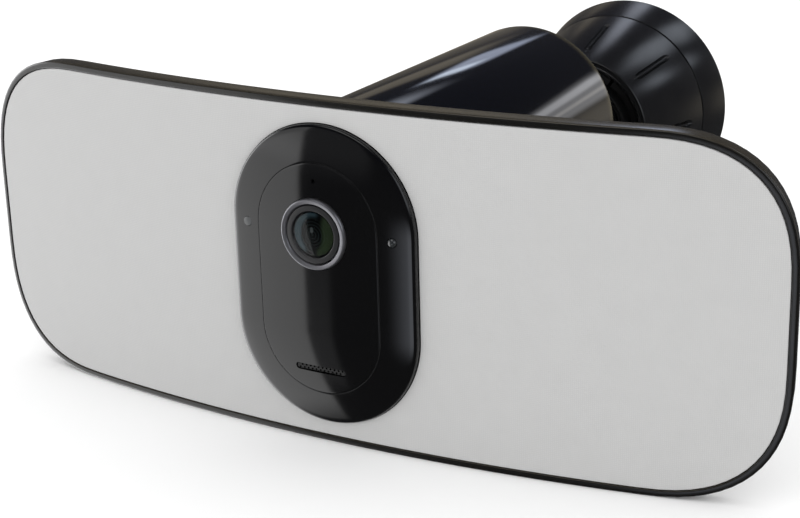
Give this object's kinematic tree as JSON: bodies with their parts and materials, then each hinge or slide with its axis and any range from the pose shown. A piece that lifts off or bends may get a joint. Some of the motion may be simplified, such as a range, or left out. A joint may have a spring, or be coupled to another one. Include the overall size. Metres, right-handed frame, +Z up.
{
  "type": "floodlight security camera",
  "caption": "Wide curved floodlight panel with a pill-shaped camera face and housing behind it, on a ball-jointed wall mount with a conical clamp collar.",
  "frame": {"origin": "centre of the wall plate's flat back face", "axes": "+Y into the wall, the lamp and lens looking along -Y; +Z up; +X along the lamp, to the right of someone facing it"},
  "size_m": [0.355, 0.3084, 0.138],
  "materials": {
    "gloss_black": "high-gloss navy-black moulded plastic",
    "satin_black": "satin black moulded plastic",
    "frame_black": "semi-gloss black moulded frame",
    "diffuser_white": "opal diffuser with a fine surface texture",
    "rubber_black": "matt black elastomer",
    "trim_grey": "satin anodised grey ring",
    "lens_glass": "coated optical glass",
    "steel": "zinc-plated steel",
    "aluminium": "plain rolled aluminium",
    "inner_plastic": "glass-filled structural plastic",
    "board_green": "green circuit board with fitted parts",
    "board_white": "white solder mask and white reflective plastic",
    "cell_grey": "matt grey battery casing",
    "brass": "turned brass"
  },
  "bodies": {
    "wall_mount": {"wall_plate": "steel", "mount_base": "satin_black", "base_lock_screw": "steel", "socket_post": "inner_plastic", "post_bolt": "steel"},
    "collar": {"clamp_collar": "satin_black"},
    "pan_link": {"pan_ring": "inner_plastic"},
    "tilt_link": {"tilt_ring": "inner_plastic"},
    "housing": {"housing_shell": "gloss_black", "ball_stud": "satin_black", "stud_washer": "rubber_black", "stud_nut": "steel", "release_bracket": "inner_plastic", "release_spring": "steel", "bracket_screw_1": "steel", "bracket_screw_2": "steel"},
    "release": {"release_button": "satin_black"},
    "camera_unit": {"light_frame": "frame_black", "diffuser": "diffuser_white", "panel_seal": "rubber_black", "back_cover": "satin_black", "housing_seal": "rubber_black", "cover_screw_1": "steel", "cover_screw_2": "steel", "cover_screw_3": "steel", "cover_screw_4": "steel", "cover_screw_5": "steel", "cover_screw_6": "steel", "cover_screw_7": "steel", "cover_screw_8": "steel", "heat_spreader_left": "aluminium", "led_board_left": "board_white", "reflector_left": "board_white", "heat_spreader_right": "aluminium", "led_board_right": "board_white", "reflector_right": "board_white", "charge_port": "inner_plastic", "face_ring": "gloss_black", "face_plate": "gloss_black", "speaker_grille": "rubber_black", "lens_trim_ring": "trim_grey", "lens_cover": "lens_glass", "lens_barrel": "satin_black", "front_lens": "lens_glass", "rear_lens": "lens_glass", "image_sensor_board": "board_green", "light_window": "lens_glass", "status_dome": "lens_glass", "microphone": "aluminium", "speaker_driver": "inner_plastic", "motion_sensor": "board_white", "infrared_board": "board_green", "core_carrier": "inner_plastic", "face_gasket": "rubber_black", "main_board": "board_green", "battery_tray": "inner_plastic", "battery_contacts": "brass"},
    "battery": {"battery_pack": "cell_grey"},
    "sync": {"sync_button": "satin_black"},
    "port_flap": {"port_cover": "rubber_black"}
  },
  "joints": [
    {"name": "collar_turn", "type": "hinge", "parent": "wall_mount", "child": "collar", "pos_m": [0, -0.048, 0], "axis": [0, -1, 0], "range_deg": [0, 180]},
    {"name": "pan", "type": "hinge", "parent": "wall_mount", "child": "pan_link", "pos_m": [0, -0.048, 0], "axis": [0, 0, 1], "range_deg": [-30, 30]},
    {"name": "tilt", "type": "hinge", "parent": "pan_link", "child": "tilt_link", "pos_m": [0, -0.048, 0], "axis": [1, 0, 0], "range_deg": [-30, 30]},
    {"name": "roll", "type": "hinge", "parent": "tilt_link", "child": "housing", "pos_m": [0, -0.048, 0], "axis": [0, 1, 0], "range_deg": [-25, 25]},
    {"name": "unit_slide", "type": "slide", "parent": "housing", "child": "camera_unit", "axis": [0, -1, 0], "range_m": [0, 0.13]},
    {"name": "battery_slide", "type": "slide", "parent": "camera_unit", "child": "battery", "axis": [0, 1, 0], "range_m": [0, 0.03]},
    {"name": "release_press", "type": "slide", "parent": "housing", "child": "release", "axis": [0, 0, 1], "range_m": [0, 0.0025], "stiffness_N_per_m": 700, "springref_m": -0.001, "deforming": ["release_spring"]},
    {"name": "sync_press", "type": "slide", "parent": "camera_unit", "child": "sync", "axis": [0.0821, -0.9966, 0], "range_m": [0, 0.001], "stiffness_N_per_m": 600, "springref_m": -0.0005},
    {"name": "port_hinge", "type": "hinge", "parent": "camera_unit", "child": "port_flap", "pos_m": [0.09031, -0.28058, -0.0163], "axis": [0.9925, 0.1219, 0], "range_deg": [0, 95]}
  ]
}
